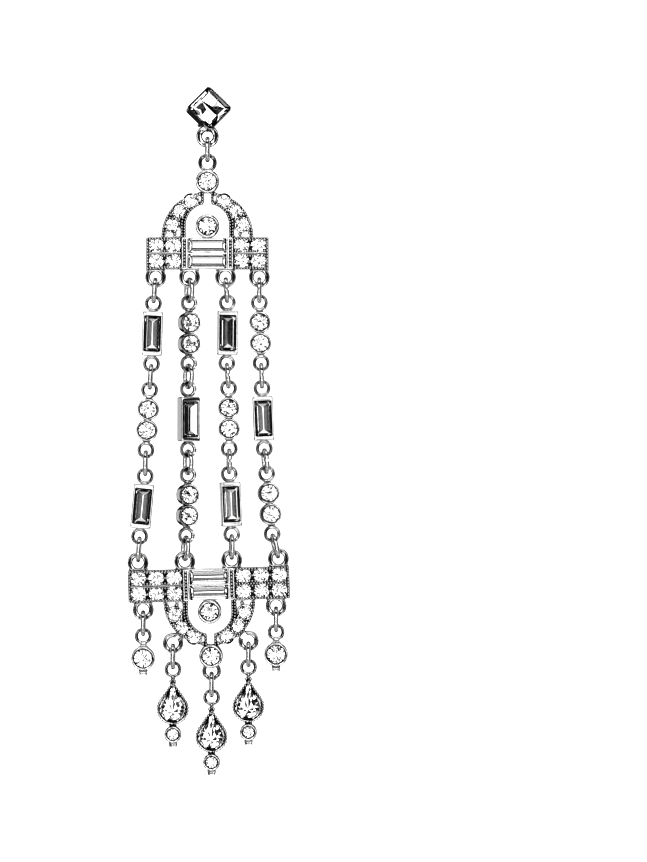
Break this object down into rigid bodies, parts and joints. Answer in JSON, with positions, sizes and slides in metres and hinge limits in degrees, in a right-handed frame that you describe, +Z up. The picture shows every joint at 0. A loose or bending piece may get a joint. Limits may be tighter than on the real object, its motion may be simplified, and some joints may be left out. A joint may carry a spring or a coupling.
{
  "type": "chandelier earring",
  "caption": "Long chandelier earring: square stud, arched upper plate, four strands of set links, inverted lower plate and hanging pear and round drops.",
  "frame": {"origin": "on the post's axis, where the post leaves the stud's back", "axes": "+Z up along the hanging earring, -Y towards whoever looks at the wearer, +X to that viewer's right"},
  "size_m": [0.0232, 0.0115, 0.0984],
  "materials": {
    "metal": "bright silver-coloured plating on a casting, darkened in its recesses",
    "stone": "clear faceted lead glass with a silver foil back"
  },
  "bodies": {
    "stud": {"stud_setting": "metal", "stud_stone": "stone"},
    "top_ring": {"top_ring": "metal"},
    "drop": {"upper_plate": "metal", "upper_baguette_1": "stone", "upper_baguette_2": "stone", "lower_plate": "metal", "lower_baguette_1": "stone", "lower_baguette_2": "stone", "strand_1_ring_1": "metal", "strand_1_ring_2": "metal", "strand_1_ring_3": "metal", "strand_1_ring_4": "metal", "strand_1_link_1": "metal", "strand_1_stone_1": "stone", "strand_1_link_2": "metal", "strand_1_link_3": "metal", "strand_1_stone_3": "stone", "strand_2_ring_1": "metal", "strand_2_ring_2": "metal", "strand_2_ring_3": "metal", "strand_2_ring_4": "metal", "strand_2_link_1": "metal", "strand_2_link_2": "metal", "strand_2_stone_2": "stone", "strand_2_link_3": "metal", "strand_3_ring_1": "metal", "strand_3_ring_2": "metal", "strand_3_ring_3": "metal", "strand_3_ring_4": "metal", "strand_3_link_1": "metal", "strand_3_stone_1": "stone", "strand_3_link_2": "metal", "strand_3_link_3": "metal", "strand_3_stone_3": "stone", "strand_4_ring_1": "metal", "strand_4_ring_2": "metal", "strand_4_ring_3": "metal", "strand_4_ring_4": "metal", "strand_4_link_1": "metal", "strand_4_link_2": "metal", "strand_4_stone_2": "stone", "strand_4_link_3": "metal", "outer_left_ring": "metal", "outer_left_drop": "metal", "inner_left_ring": "metal", "inner_left_drop": "metal", "inner_left_stone": "stone", "middle_ring": "metal", "middle_drop": "metal", "middle_stone": "stone", "inner_right_ring": "metal", "inner_right_drop": "metal", "inner_right_stone": "stone", "outer_right_ring": "metal", "outer_right_drop": "metal"}
  },
  "joints": [
    {"name": "side_swing", "type": "hinge", "parent": "stud", "child": "top_ring", "pos_m": [0, -0.0013, -0.00404], "axis": [0, 1, 0], "range_deg": [-40, 40]},
    {"name": "fore_aft_swing", "type": "hinge", "parent": "top_ring", "child": "drop", "pos_m": [0, -0.0013, -0.00557], "axis": [1, 0, 0], "range_deg": [-35, 35]}
  ]
}
